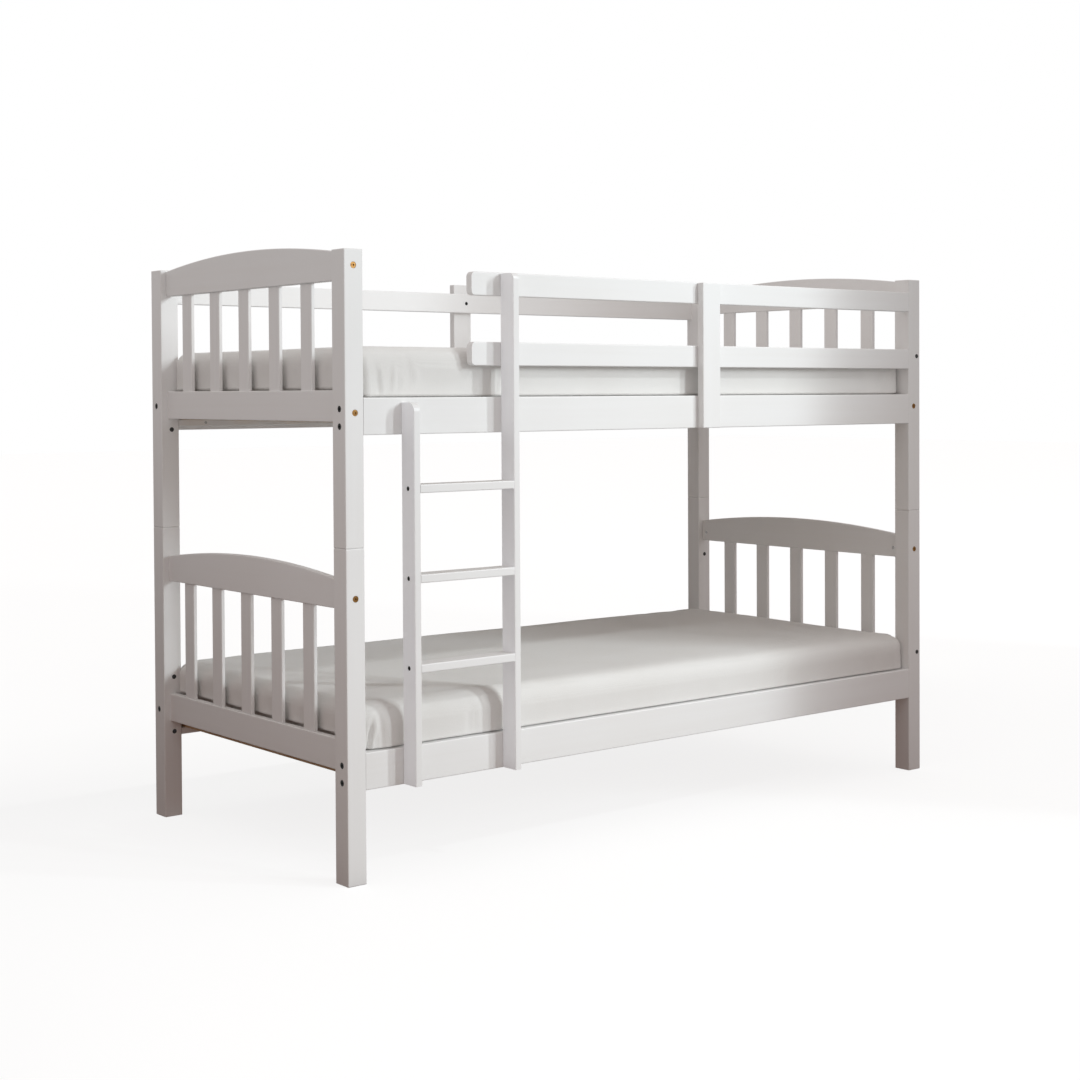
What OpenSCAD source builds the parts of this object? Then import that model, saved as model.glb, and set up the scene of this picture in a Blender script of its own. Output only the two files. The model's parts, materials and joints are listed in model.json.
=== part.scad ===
// Bunk bed with ladder: two single beds of painted timber, the upper one standing on steel pins
// in the posts of the lower one. Millimetres. X runs along the bed, Y from front to back, Z up.
// The origin is on the floor, under the middle of the whole bed, ladder included.

/* [Frame] */
// Length over the outer faces of the posts
bed_l = 1992; // [1900:1:2100]
// Width over the outer faces of the posts
bed_w = 963; // [920:1:1050]
// Height of the posts' tops
bed_h = 1454; // [1440:1:1500]
// Height of the joint between the lower and the upper posts
joint_z = 772; // [740:1:850]
// Post size along the bed
post_x = 50; // [48:1:56]
// Post size across the bed
post_y = 54; // [52:1:60]
// Rounding of the timber's edges
edge_r = 2.5; // [1:0.5:4]

/* [Side rails] */
// Underside of the lower side rails
lower_rail_z = 216; // [190:1:230]
// Underside of the upper side rails
upper_rail_z = 1030; // [1000:1:1035]
// Height of a side rail
rail_h = 86; // [80:1:100]
// Thickness of a side rail
rail_t = 32; // [31:1:34]
// Gap that lets the ladder pass the lower side rail
ladder_gap = 0.5; // [0.3:0.1:2]

/* [Bed ends] */
// Underside of the lower end rails
lower_end_z = 256; // [240:1:270]
// Underside of the upper end rails
upper_end_z = 1060; // [1050:1:1070]
// Height of an end rail
end_rail_h = 73; // [66:1:80]
// Underside of the lower arches
lower_arch_z = 630; // [600:1:640]
// Underside of the upper arches
upper_arch_z = 1384; // [1370:1:1386]
// Height of an arch where it meets the posts
arch_end_h = 66; // [60:1:68]
// Rise of an arch from its ends to its middle
arch_rise = 28; // [15:1:50]
// Thickness of the end rails and the arches
end_t = 18; // [18:1:24]
// Number of spindles in each bed end
spindle_n = 5; // [3:1:5]
// Width of a spindle
spindle_w = 50; // [30:1:60]
// Thickness of a spindle
spindle_t = 10; // [8:1:14]
// Distance from one spindle to the next
spindle_pitch = 150; // [120:1:155]
// How far the left end's spindles stand nearer to the back
spindle_shift = 22; // [0:1:25]

/* [Slatted bases] */
// Top of the lower bed's slats
lower_deck_z = 252; // [252:1:256]
// Top of the upper bed's slats
upper_deck_z = 1076; // [1070:1:1080]
// Number of slats in each bed
slat_n = 13; // [8:1:16]
// Width of a slat
slat_w = 70; // [50:1:80]
// Thickness of a slat
slat_t = 18; // [14:1:18]

/* [Mattresses] */
// Length of a mattress
mattress_l = 1886; // [1800:1:1890]
// Width of a mattress
mattress_w = 890; // [850:1:894]
// Thickness of a mattress
mattress_h = 158; // [100:1:160]

/* [Guard rails] */
// Left end of the front guard rails
guard_left = -641; // [-700:1:-600]
// Underside of the top guard rail
guard_top_z = 1359; // [1340:1:1360]
// Underside of the middle guard rail
guard_mid_z = 1191; // [1170:1:1230]
// Underside of the back guard rail
guard_back_z = 1367; // [1340:1:1370]
// Height of a guard rail
guard_h = 57; // [50:1:60]
// Thickness of a guard rail
guard_t = 21; // [18:1:24]
// Left edge of the front upright board
board_x = 95; // [0:1:200]
// Left edge of the back upright batten
batten_x = -10; // [-100:1:200]
// Width of the upright boards
board_w = 63; // [55:1:70]
// Thickness of the upright boards
board_t = 22; // [18:1:25]

/* [Ladder] */
// Outer side of the left stile
ladder_x = -844; // [-860:1:-820]
// Width over both stiles
ladder_w = 306; // [300:1:360]
// Thickness of a stile
stile_t = 18; // [18:1:24]
// Depth of the stiles and rungs
ladder_d = 52; // [45:1:80]
// Underside of the stiles
stile_z = 217; // [150:1:230]
// Top of the left stile
stile_left_top = 1104; // [1100:1:1112]
// Top of the right stile
stile_right_top = 1413; // [1412:1:1440]
// Middle of the lowest rung
rung_z = 489; // [450:1:500]
// Distance from one rung to the next
rung_pitch = 208; // [190:1:215]
// Thickness of a rung
rung_t = 20; // [18:1:26]

/* [Hidden] */

$fn = 32;
PAINT = "#eceae6";
PINE = "#d9b98a";
STEEL = "#9a9a9c";
BRASS = "#b9873a";
BLACK = "#242424";
SHEET = "#e9e6df";

// Which bed, which side along X and which side along Y
LOWER = 0;
UPPER = 1;
LEFT = -1;
RIGHT = 1;
FRONT = -1;
BACK = 1;
SIDES = [-1, 1];

// The corner at the front left, where every corner piece is drawn before it is mirrored into place
x0 = -bed_l / 2;
y0 = -bed_w / 2;
// Inner faces of the posts
post_in_x = x0 + post_x;
post_in_y = y0 + post_y;
// The ladder stands further out than the back boards, so the frame is moved back by half of that
y_mid = (ladder_d - board_t) / 2;

// Set-back of the arches and of the end rails from the posts' end faces
arch_x = x0 + 16 + end_t / 2;
end_x = x0 + 18 + end_t / 2;
arch_bolt_dz = [27, 33];
arch_dowel_dz = 14;
end_bolt_dz = 21;
end_dowel_dz = 54;
mortise = 12;
tenon_gap = 0.25;
chamfer = 2;

// Side rail bolts, measured from the posts' outer face and from the rail's underside
side_bolt_y = y0 + 24;
side_front_dz = [20, 60];
side_back_dz = [70, 64];
side_dowel_dz = 20;

// Bolts with barrel nuts
bolt_r = 3;
bolt_bore_r = 3.2;
head_r = 7.3;
head_h = 3.5;
head_bore_r = 7.8;
head_sink = 4;
bolt_reach = 28;
nut_r = 5;
nut_bore_r = 5.1;
nut_l = 14;
nut_from_end = 20;

// Wood dowels, glued into both pieces
dowel_r = 4;
dowel_bore_r = 4.05;
dowel_half = 20;

// Joining pins: tight in the lower posts, a running fit in the upper ones
pin_r = 5;
pin_half = 50;
pin_tight_r = 5.03;
pin_free_r = 5.08;

// Caps over the unused holes of the posts
cap_r = 6.2;
cap_t = 1.2;
cap_stem_r = 3.8;
cap_bore_r = 4;
cap_depth = 10;

// Ledges and their screws
ledge_w = 20;
ledge_h = 18;
ledge_gap = 2;
screw_r = 2;
screw_bore_r = 2.1;
screw_head_r = 4;
screw_head_bore_r = 4.2;
screw_head_h = 2.2;
screw_sink = 2.5;
ledge_screw_n = 6;

// Screws through the guards and rails into the uprights, and through the stiles into the rungs
long_r = 2.8;
long_bore_r = 3;
long_head_r = 5;
long_head_bore_r = 5.3;
long_bite = 15;
rung_screw_l = 50;
rung_head_r = 5.2;
rung_head_bore_r = 5.6;
ladder_dowel_y = 15;
guard_dowel_dz = 14;

mattress_r = 22;
mattress_gap = 0.3;
stile_left_r = 20;
stile_right_r = 14;
guard_end_r = 12;

function rail_z(bed) = bed == UPPER ? upper_rail_z : lower_rail_z;
function end_z(bed) = bed == UPPER ? upper_end_z : lower_end_z;
function arch_z(bed) = bed == UPPER ? upper_arch_z : lower_arch_z;
function deck_z(bed) = bed == UPPER ? upper_deck_z : lower_deck_z;
function post_span(bed) = bed == UPPER ? [joint_z, bed_h] : [0, joint_z];
// Outer face of a side rail, seen in the front left corner
function rail_y(bed) = bed == UPPER ? y0 : y0 + ladder_gap;
function rung_height(i) = rung_z + i * rung_pitch;
function slat_pos(i) = (i - (slat_n - 1) / 2) * (2 * -post_in_x - slat_w - 20) / (slat_n - 1);
function spindle_pos(i, sx) = (i - (spindle_n - 1) / 2) * spindle_pitch + (sx == LEFT ? spindle_shift : 0);
function middle(span) = (span[0] + span[1]) / 2;

// [x, z] of the bolts that run along Y into the bed ends
function end_bolt_axes(bed, sx, sy) = concat(
    bed == UPPER && sx == RIGHT && sy == FRONT ? [] : [[arch_x, arch_z(bed) + arch_bolt_dz[bed]]],
    bed == UPPER ? [[end_x, end_z(bed) + end_bolt_dz]] : []);

// [x, z] of the dowels that run along Y into the bed ends
function end_dowel_axes(bed, sx, sy) = concat(
    [[arch_x, arch_z(bed) + arch_dowel_dz], [end_x, end_z(bed) + end_dowel_dz]],
    bed == UPPER && sx == RIGHT && sy == FRONT ? [[arch_x, arch_z(bed) + arch_bolt_dz[bed]]] : [],
    bed == LOWER ? [[end_x, end_z(bed) + end_bolt_dz]] : []);

// z of the bolts and of the dowels that run along X into the side rails
function side_bolt_zs(bed, sy) =
    [for (dz = sy == FRONT ? side_front_dz : [side_back_dz[bed]]) rail_z(bed) + dz];
function side_dowel_zs(bed, sy) = sy == BACK ? [rail_z(bed) + side_dowel_dz] : [];

// [y, z] of the dowels that run along X into the ends of the guard rails
function pair_dz(z) = [z + guard_h / 2 - guard_dowel_dz, z + guard_h / 2 + guard_dowel_dz];
function guard_dowel_axes(bed, sx, sy) =
    bed == LOWER || (sx == LEFT && sy == FRONT) ? [] :
    [for (z = sy == FRONT ? concat(pair_dz(guard_top_z), pair_dz(guard_mid_z)) : pair_dz(guard_back_z))
        [y0 + guard_t / 2, z]];

// [distance from the end face, whether on the outer face, z] of the caps over unused holes
function cap_places(bed, sx, sy) =
    bed == UPPER && sx == RIGHT && sy == FRONT ? [[14, true, 1229]] :
    bed == UPPER && sx == LEFT && sy == BACK ? [[29, false, 1032]] :
    bed == LOWER && sx == RIGHT && sy == FRONT ? [[14, true, 350]] :
    bed == LOWER && sx == LEFT && sy == BACK ? [[29, false, 227], [29, false, 373]] :
    bed == LOWER && sx == RIGHT && sy == BACK ? [[24, false, 583]] : [];

// ---- Shapes ----

ARC_STEPS = 4;
function quarter(c, r, a) =
    [for (i = [0 : ARC_STEPS]) c + r * [cos(a + 90 * i / ARC_STEPS), sin(a + 90 * i / ARC_STEPS)]];
function round_rect(a, b, r) = concat(
    quarter([a[1] - r, b[1] - r], r, 0),
    quarter([a[0] + r, b[1] - r], r, 90),
    quarter([a[0] + r, b[0] + r], r, 180),
    quarter([a[1] - r, b[0] + r], r, 270));

// Extrusions along each axis of a flat outline; x, y and z are [low, high]
module along_x(x) translate([x[0], 0, 0]) rotate([90, 0, 90]) linear_extrude(x[1] - x[0]) children();
module along_y(y) translate([0, y[1], 0]) rotate([90, 0, 0]) linear_extrude(y[1] - y[0]) children();
module along_z(z) translate([0, 0, z[0]]) linear_extrude(z[1] - z[0]) children();

// A piece of timber that runs along X, with rounded long edges
module timber_x(x, y, z) along_x(x) polygon(round_rect(y, z, edge_r));

// A piece of timber with all its edges rounded
module timber_block(x, y, z, r = edge_r) intersection() {
    along_x(x) polygon(round_rect(y, z, r));
    along_y(y) polygon(round_rect(x, z, r));
    along_z(z) polygon(round_rect(x, y, r));
}

module rod_x(x, y, z, r) translate([x[0], y, z]) rotate([0, 90, 0]) cylinder(h = x[1] - x[0], r = r);
module rod_y(x, y, z, r) translate([x, y[0], z]) rotate([-90, 0, 0]) cylinder(h = y[1] - y[0], r = r);
module rod_z(x, y, z, r) translate([x, y, z[0]]) cylinder(h = z[1] - z[0], r = r);

// Takes what is drawn in the front left corner to any corner, and moves the frame back
module corner(sx, sy) translate([0, y_mid, 0])
    mirror([sx == RIGHT ? 1 : 0, 0, 0]) mirror([0, sy == BACK ? 1 : 0, 0]) children();
module middle_frame() translate([0, y_mid, 0]) children();

// A socket-head bolt along +Z whose head starts at the origin
module bolt(length, r = bolt_r, rh = head_r) difference() {
    union() {
        cylinder(h = head_h, r = rh);
        cylinder(h = length, r = r);
    }
    translate([0, 0, -1]) cylinder(h = 3, r = rh * 0.45, $fn = 6);
}

// A round nut along +Z with a cross hole for the bolt, along X
module barrel_nut() difference() {
    cylinder(h = nut_l, r = nut_r, center = true);
    rotate([0, 90, 0]) cylinder(h = 3 * nut_r, r = bolt_r + 0.1, center = true);
}

// ---- Posts ----

module post(bed, sx, sy) color(PAINT) corner(sx, sy) difference() {
    timber_block([x0, post_in_x], [y0, post_in_y], post_span(bed));
    for (a = end_bolt_axes(bed, sx, sy)) {
        rod_y(a[0], [y0 - 1, post_in_y + 1], a[1], bolt_bore_r);
        rod_y(a[0], [y0 - 1, y0 + head_sink], a[1], head_bore_r);
    }
    for (a = end_dowel_axes(bed, sx, sy))
        rod_y(a[0], [post_in_y - dowel_half - 0.5, post_in_y + 1], a[1], dowel_bore_r);
    for (z = side_bolt_zs(bed, sy)) {
        rod_x([x0 - 1, post_in_x + 1], side_bolt_y, z, bolt_bore_r);
        rod_x([x0 - 1, x0 + head_sink], side_bolt_y, z, head_bore_r);
    }
    for (z = side_dowel_zs(bed, sy))
        rod_x([post_in_x - dowel_half - 0.5, post_in_x + 1], side_bolt_y, z, dowel_bore_r);
    for (a = guard_dowel_axes(bed, sx, sy))
        rod_x([post_in_x - dowel_half - 0.5, post_in_x + 1], a[0], a[1], dowel_bore_r);
    for (c = cap_places(bed, sx, sy))
        rod_y(x0 + c[0], c[1] ? [y0 - 1, y0 + cap_depth] : [post_in_y - cap_depth, post_in_y + 1],
            c[2], cap_bore_r);
    pin_bore(bed);
}

module pin_bore(bed) {
    span = bed == UPPER ? [joint_z - 1, joint_z + pin_half + 2] : [joint_z - pin_half, joint_z + 1];
    rod_z(x0 + post_x / 2, y0 + post_y / 2, span, bed == UPPER ? pin_free_r : pin_tight_r);
}

module joining_pins() color(STEEL) for (sx = SIDES, sy = SIDES) corner(sx, sy)
    translate([x0 + post_x / 2, y0 + post_y / 2, joint_z - pin_half]) {
        cylinder(h = 2 * pin_half - 3, r = pin_r);
        translate([0, 0, 2 * pin_half - 3]) cylinder(h = 3, r1 = pin_r, r2 = pin_r - 2);
    }

module hole_caps(bed) color(BLACK) for (sx = SIDES, sy = SIDES) corner(sx, sy)
    for (c = cap_places(bed, sx, sy))
        translate([x0 + c[0], c[1] ? y0 : post_in_y, c[2]]) rotate([c[1] ? 90 : -90, 0, 0]) {
            cylinder(h = cap_t, r1 = cap_r, r2 = cap_r - 0.8);
            translate([0, 0, 0.5 - cap_depth]) cylinder(h = cap_depth, r = cap_stem_r);
        }

// ---- Side rails and slatted bases ----

// Screws that hold a ladder stile or an upright board to a rail, as [x, side along Y]
stile_mid_xs = [ladder_x + stile_t / 2, ladder_x + ladder_w - stile_t / 2];
board_mid_x = board_x + board_w / 2;
batten_mid_x = batten_x + board_w / 2;
function rail_screw_xs(sy) = sy == FRONT ? concat(stile_mid_xs, [board_mid_x]) : [batten_mid_x];
rail_screw_z = upper_rail_z + rail_h / 2 + 14;

function ledge_screw_x(i) = (i - (ledge_screw_n - 1) / 2) * (2 * -post_in_x - 160) / (ledge_screw_n - 1);
ledge_in_y = y0 + rail_t + ledge_w;
function ledge_span(bed) = [deck_z(bed) - slat_t - ledge_h, deck_z(bed) - slat_t];

module side_rail(bed, sy) color(PAINT) corner(LEFT, sy) difference() {
    timber_x([post_in_x, -post_in_x], [rail_y(bed), y0 + rail_t], [rail_z(bed), rail_z(bed) + rail_h]);
    for (sx = SIDES) scale_x(sx) {
        for (z = side_bolt_zs(bed, sy)) {
            rod_x([post_in_x - 1, post_in_x + bolt_reach], side_bolt_y, z, bolt_bore_r);
            rod_y(post_in_x + nut_from_end, [side_bolt_y - nut_l / 2, y0 + rail_t + 1], z, nut_bore_r);
        }
        for (z = side_dowel_zs(bed, sy))
            rod_x([post_in_x - 1, post_in_x + dowel_half + 0.5], side_bolt_y, z, dowel_bore_r);
    }
    for (i = [0 : ledge_screw_n - 1])
        rod_y(ledge_screw_x(i), [y0 + rail_t - 18, y0 + rail_t + 1], middle(ledge_span(bed)), screw_bore_r);
    if (bed == UPPER) for (x = rail_screw_xs(sy)) {
        rod_y(x, [y0 - 1, y0 + rail_t + 1], rail_screw_z, long_bore_r);
        rod_y(x, [y0 + rail_t - head_sink, y0 + rail_t + 1], rail_screw_z, long_head_bore_r);
    }
}

// Mirrors across X when the side is the right one
module scale_x(sx) mirror([sx == RIGHT ? 1 : 0, 0, 0]) children();

module slat_ledges(bed) color(PAINT) for (sy = SIDES) corner(LEFT, sy) difference() {
    timber_x([post_in_x + 1, -post_in_x - 1], [y0 + rail_t, ledge_in_y], ledge_span(bed));
    for (i = [0 : ledge_screw_n - 1]) {
        rod_y(ledge_screw_x(i), [y0, ledge_in_y + 1], middle(ledge_span(bed)), screw_bore_r);
        rod_y(ledge_screw_x(i), [ledge_in_y - screw_sink, ledge_in_y + 1], middle(ledge_span(bed)),
            screw_head_bore_r);
    }
    for (i = [0 : slat_n - 1])
        rod_z(slat_pos(i), ledge_in_y - ledge_w / 2, [deck_z(bed) - slat_t - 12, deck_z(bed)], screw_bore_r);
}

module slats(bed) color(PINE) middle_frame() for (i = [0 : slat_n - 1]) difference() {
    half = -(y0 + rail_t + ledge_gap);
    timber_block([slat_pos(i) - slat_w / 2, slat_pos(i) + slat_w / 2], [-half, half],
        [deck_z(bed) - slat_t, deck_z(bed)]);
    for (sy = SIDES) {
        rod_z(slat_pos(i), sy * (ledge_in_y - ledge_w / 2), [deck_z(bed) - slat_t - 1, deck_z(bed) + 1],
            screw_bore_r);
        rod_z(slat_pos(i), sy * (ledge_in_y - ledge_w / 2), [deck_z(bed) - screw_sink, deck_z(bed) + 1],
            screw_head_bore_r);
    }
}

// A wood screw along +Z whose head starts at the origin
module wood_screw(length, r = screw_r, rh = screw_head_r, hh = screw_head_h) difference() {
    union() {
        cylinder(h = hh, r = rh);
        cylinder(h = length - 2 * r, r = r);
        translate([0, 0, length - 2 * r]) cylinder(h = 2 * r, r1 = r, r2 = r * 0.3);
    }
    translate([0, 0, -1]) cylinder(h = hh, r = rh * 0.45, $fn = 6);
}

module base_screws(bed) color(STEEL) for (sy = SIDES) corner(LEFT, sy) {
    for (i = [0 : slat_n - 1])
        translate([slat_pos(i), ledge_in_y - ledge_w / 2, deck_z(bed) - screw_sink + screw_head_h])
            rotate([180, 0, 0]) wood_screw(26);
    for (i = [0 : ledge_screw_n - 1])
        translate([ledge_screw_x(i), ledge_in_y - screw_sink + screw_head_h, middle(ledge_span(bed))])
            rotate([90, 0, 0]) wood_screw(34);
}

// ---- Bed ends ----

// Height of the arch's top edge above its ends, on a circle through both ends and the middle
arch_r = (pow(post_in_y, 2) + pow(arch_rise, 2)) / (2 * arch_rise);
function arch_top(y) = sqrt(pow(arch_r, 2) - pow(y, 2)) - (arch_r - arch_rise);
ARCH_STEPS = 28;

// The arch's outline, smaller all round by the inset
function arch_outline(inset) = let (half = -post_in_y - inset) concat(
    [[-half, inset], [half, inset]],
    [for (i = [0 : ARCH_STEPS]) let (y = half - 2 * half * i / ARCH_STEPS)
        [y, arch_end_h + arch_top(y) - inset]]);

module arch(bed, sx) color(PAINT) corner(sx, FRONT) difference() {
    translate([0, 0, arch_z(bed)]) hull() {
        along_x([arch_x - end_t / 2, arch_x + end_t / 2]) polygon(arch_outline(chamfer));
        along_x([arch_x - end_t / 2 + chamfer, arch_x + end_t / 2 - chamfer]) polygon(arch_outline(0));
    }
    end_joinery(bed, sx, arch_x, arch_z(bed) - 1, arch_z(bed) + arch_end_h + arch_rise);
    spindle_mortises(sx, [arch_z(bed) - 1, arch_z(bed) + mortise]);
}

module end_rail(bed, sx) color(PAINT) corner(sx, FRONT) difference() {
    along_y([post_in_y, -post_in_y]) polygon(
        round_rect([end_x - end_t / 2, end_x + end_t / 2], [end_z(bed), end_z(bed) + end_rail_h], edge_r));
    end_joinery(bed, sx, end_x, end_z(bed), end_z(bed) + end_rail_h);
    spindle_mortises(sx, [end_z(bed) + end_rail_h - mortise, end_z(bed) + end_rail_h + 1]);
}

// Bolt, nut and dowel holes in both ends of a piece that runs along Y between two heights
module end_joinery(bed, sx, x, low, high) for (sy = SIDES) mirror([0, sy == BACK ? 1 : 0, 0]) {
    for (a = end_bolt_axes(bed, sx, sy)) if (a[1] > low && a[1] < high) {
        rod_y(x, [post_in_y - 1, post_in_y + bolt_reach], a[1], bolt_bore_r);
        rod_x([x - nut_l / 2, x + end_t / 2 + 1], post_in_y + nut_from_end, a[1], nut_bore_r);
    }
    for (a = end_dowel_axes(bed, sx, sy)) if (a[1] > low && a[1] < high)
        rod_y(x, [post_in_y - 1, post_in_y + dowel_half + 0.5], a[1], dowel_bore_r);
}

// The end rail is set back a little further than the arch, so the spindles stand between their middles
spindle_x = (arch_x + end_x) / 2;

module spindle_mortises(sx, z) for (i = [0 : spindle_n - 1])
    translate([spindle_x - spindle_t / 2 - tenon_gap, spindle_pos(i, sx) - spindle_w / 2 - tenon_gap, z[0]])
        cube([spindle_t + 2 * tenon_gap, spindle_w + 2 * tenon_gap, z[1] - z[0]]);

module spindles(bed, sx) color(PAINT) corner(sx, FRONT) for (i = [0 : spindle_n - 1])
    along_z([end_z(bed) + end_rail_h - mortise + tenon_gap, arch_z(bed) + mortise - tenon_gap])
        polygon(round_rect([spindle_x - spindle_t / 2, spindle_x + spindle_t / 2],
            [spindle_pos(i, sx) - spindle_w / 2, spindle_pos(i, sx) + spindle_w / 2], edge_r));

// ---- Fasteners of the frame ----

module side_bolts(bed) color(BLACK) for (sx = SIDES, sy = SIDES) corner(sx, sy)
    for (z = side_bolt_zs(bed, sy))
        translate([x0 + head_sink - head_h, side_bolt_y, z]) rotate([0, 90, 0])
            bolt(post_x + bolt_reach - head_sink);

module end_bolts(bed) color(BRASS) for (sx = SIDES, sy = SIDES) corner(sx, sy)
    for (a = end_bolt_axes(bed, sx, sy))
        translate([a[0], y0 + head_sink - head_h, a[1]]) rotate([-90, 0, 0])
            bolt(post_y + bolt_reach - head_sink);

module barrel_nuts(bed) color(STEEL) for (sx = SIDES, sy = SIDES) corner(sx, sy) {
    for (z = side_bolt_zs(bed, sy))
        translate([post_in_x + nut_from_end, side_bolt_y, z]) rotate([90, 0, 0]) barrel_nut();
    for (a = end_bolt_axes(bed, sx, sy))
        translate([a[0], post_in_y + nut_from_end, a[1]]) rotate([0, 90, 0]) rotate([0, 0, 90]) barrel_nut();
}

module dowels(bed) color(PINE) for (sx = SIDES, sy = SIDES) corner(sx, sy) {
    for (a = end_dowel_axes(bed, sx, sy))
        rod_y(a[0], [post_in_y - dowel_half, post_in_y + dowel_half], a[1], dowel_r);
    for (z = side_dowel_zs(bed, sy))
        rod_x([post_in_x - dowel_half, post_in_x + dowel_half], side_bolt_y, z, dowel_r);
}

// ---- Guard rails ----

// A front guard rail: its left end is free and rounded, its right end meets the post
module front_guard(z) color(PAINT) middle_frame() difference() {
    intersection() {
        timber_x([guard_left, -post_in_x], [y0, y0 + guard_t], [z, z + guard_h]);
        along_y([y0, y0 + guard_t])
            polygon(round_rect([guard_left, -post_in_x + 2 * guard_end_r], [z, z + guard_h], guard_end_r));
    }
    for (x = [stile_mid_xs[1], board_mid_x]) upright_screw_hole(x, y0 + guard_t, z + guard_h / 2);
    for (dz = pair_dz(z))
        rod_x([-post_in_x - dowel_half - 0.5, -post_in_x + 1], y0 + guard_t / 2, dz, dowel_bore_r);
}

// A hole through a rail whose inner face is at y, with room for the head at that face
module upright_screw_hole(x, y, z) {
    rod_y(x, [y0 - 1, y + 1], z, long_bore_r);
    rod_y(x, [y - head_sink, y + 1], z, long_head_bore_r);
}

module guard_rail_back() color(PAINT) corner(LEFT, BACK) difference() {
    timber_x([post_in_x, -post_in_x], [y0, y0 + guard_t], [guard_back_z, guard_back_z + guard_h]);
    upright_screw_hole(batten_mid_x, y0 + guard_t, guard_back_z + guard_h / 2);
    for (sx = SIDES, z = pair_dz(guard_back_z)) scale_x(sx)
        rod_x([post_in_x - 1, post_in_x + dowel_half + 0.5], y0 + guard_t / 2, z, dowel_bore_r);
}

// An upright board that stands on the outer faces of the rails
module upright(x, z, screw_zs) color(PAINT) difference() {
    timber_block([x, x + board_w], [y0 - board_t, y0], z);
    for (s = screw_zs) rod_y(x + board_w / 2, [y0 - long_bite - 1, y0 + 1], s, long_bore_r);
}

front_screw_zs = [rail_screw_z, guard_mid_z + guard_h / 2, guard_top_z + guard_h / 2];
back_screw_zs = [rail_screw_z, guard_back_z + guard_h / 2];

module guard_board_front() middle_frame()
    upright(board_x, [upper_rail_z, guard_top_z + guard_h - 2], front_screw_zs);

module guard_batten_back() corner(LEFT, BACK) upright(batten_x, [upper_rail_z, bed_h - 2], back_screw_zs);

// A screw from a rail's inner face at y into whatever stands on its outer face
module fixing_screw(x, y, z) translate([x, y - head_sink + head_h, z]) rotate([90, 0, 0])
    wood_screw(y - head_sink + head_h - y0 + long_bite, long_r, long_head_r, head_h);

module guard_screws() color(BLACK) {
    middle_frame() {
        fixing_screw(board_mid_x, y0 + rail_t, rail_screw_z);
        for (z = [guard_mid_z, guard_top_z]) fixing_screw(board_mid_x, y0 + guard_t, z + guard_h / 2);
    }
    corner(LEFT, BACK) {
        fixing_screw(batten_mid_x, y0 + rail_t, rail_screw_z);
        fixing_screw(batten_mid_x, y0 + guard_t, guard_back_z + guard_h / 2);
    }
}

module guard_dowels() color(PINE) for (sx = SIDES, sy = SIDES) corner(sx, sy)
    for (a = guard_dowel_axes(UPPER, sx, sy))
        rod_x([post_in_x - dowel_half, post_in_x + dowel_half], a[0], a[1], dowel_r);

// ---- Ladder ----

ladder_y = [y0 - ladder_d, y0];
ladder_mid_y = y0 - ladder_d / 2;
ladder_right_x = ladder_x + ladder_w;
rung_x = [ladder_x + stile_t, ladder_right_x - stile_t];

// A stile with its upper front corner rounded; side is the one its rungs are not on
module stile(side, x, top, r, screw_zs) color(PAINT) middle_frame() difference() {
    intersection() {
        along_z([stile_z, top]) polygon(round_rect([x, x + stile_t], ladder_y, edge_r));
        along_x([x, x + stile_t]) polygon(concat(
            [[ladder_y[0], stile_z], [ladder_y[1], stile_z], [ladder_y[1], top]],
            quarter([ladder_y[0] + r, top - r], r, 90)));
    }
    for (i = [0 : 2]) {
        rod_x([x - 1, x + stile_t + 1], ladder_mid_y, rung_height(i), long_bore_r);
        rod_x(side == LEFT ? [x - 1, x + head_sink] : [x + stile_t - head_sink, x + stile_t + 1],
            ladder_mid_y, rung_height(i), rung_head_bore_r);
        for (s = SIDES)
            rod_x(side == LEFT ? [x + stile_t - 10, x + stile_t + 1] : [x - 1, x + 10],
                ladder_mid_y + s * ladder_dowel_y, rung_height(i), dowel_bore_r);
    }
    for (z = screw_zs) rod_y(x + stile_t / 2, [y0 - long_bite - 1, y0 + 1], z, long_bore_r);
}

module ladder_stile_left() stile(LEFT, ladder_x, stile_left_top, stile_left_r, [rail_screw_z]);
module ladder_stile_right()
    stile(RIGHT, ladder_right_x - stile_t, stile_right_top, stile_right_r, front_screw_zs);

module rung(i) color(PAINT) middle_frame() difference() {
    timber_x(rung_x, ladder_y, [rung_height(i) - rung_t / 2, rung_height(i) + rung_t / 2]);
    for (sx = SIDES) translate([middle(rung_x), 0, 0]) scale_x(sx) {
        half = (rung_x[1] - rung_x[0]) / 2;
        rod_x([-half - 1, rung_screw_l - stile_t - half], ladder_mid_y, rung_height(i), long_bore_r);
        for (s = SIDES)
            rod_x([-half - 1, 20.5 - half], ladder_mid_y + s * ladder_dowel_y, rung_height(i), dowel_bore_r);
    }
}

module rung_ends() middle_frame() for (sx = SIDES) translate([ladder_x + ladder_w / 2, ladder_mid_y, 0])
    scale_x(sx) translate([-ladder_w / 2, 0, 0]) for (i = [0 : 2]) translate([0, 0, rung_height(i)])
        children();

module ladder_rung_screws() color(BLACK) rung_ends()
    translate([head_sink - head_h, 0, 0]) rotate([0, 90, 0])
        wood_screw(rung_screw_l - head_sink, long_r, rung_head_r, head_h);

module ladder_dowels() color(PINE) rung_ends() for (s = SIDES)
    rod_x([stile_t - 9.5, stile_t + 20], s * ladder_dowel_y, 0, dowel_r);

module ladder_fixing_screws() color(BLACK) middle_frame() {
    for (x = stile_mid_xs) fixing_screw(x, y0 + rail_t, rail_screw_z);
    for (z = [guard_mid_z, guard_top_z]) fixing_screw(stile_mid_xs[1], y0 + guard_t, z + guard_h / 2);
}

// ---- Mattresses ----

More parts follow.
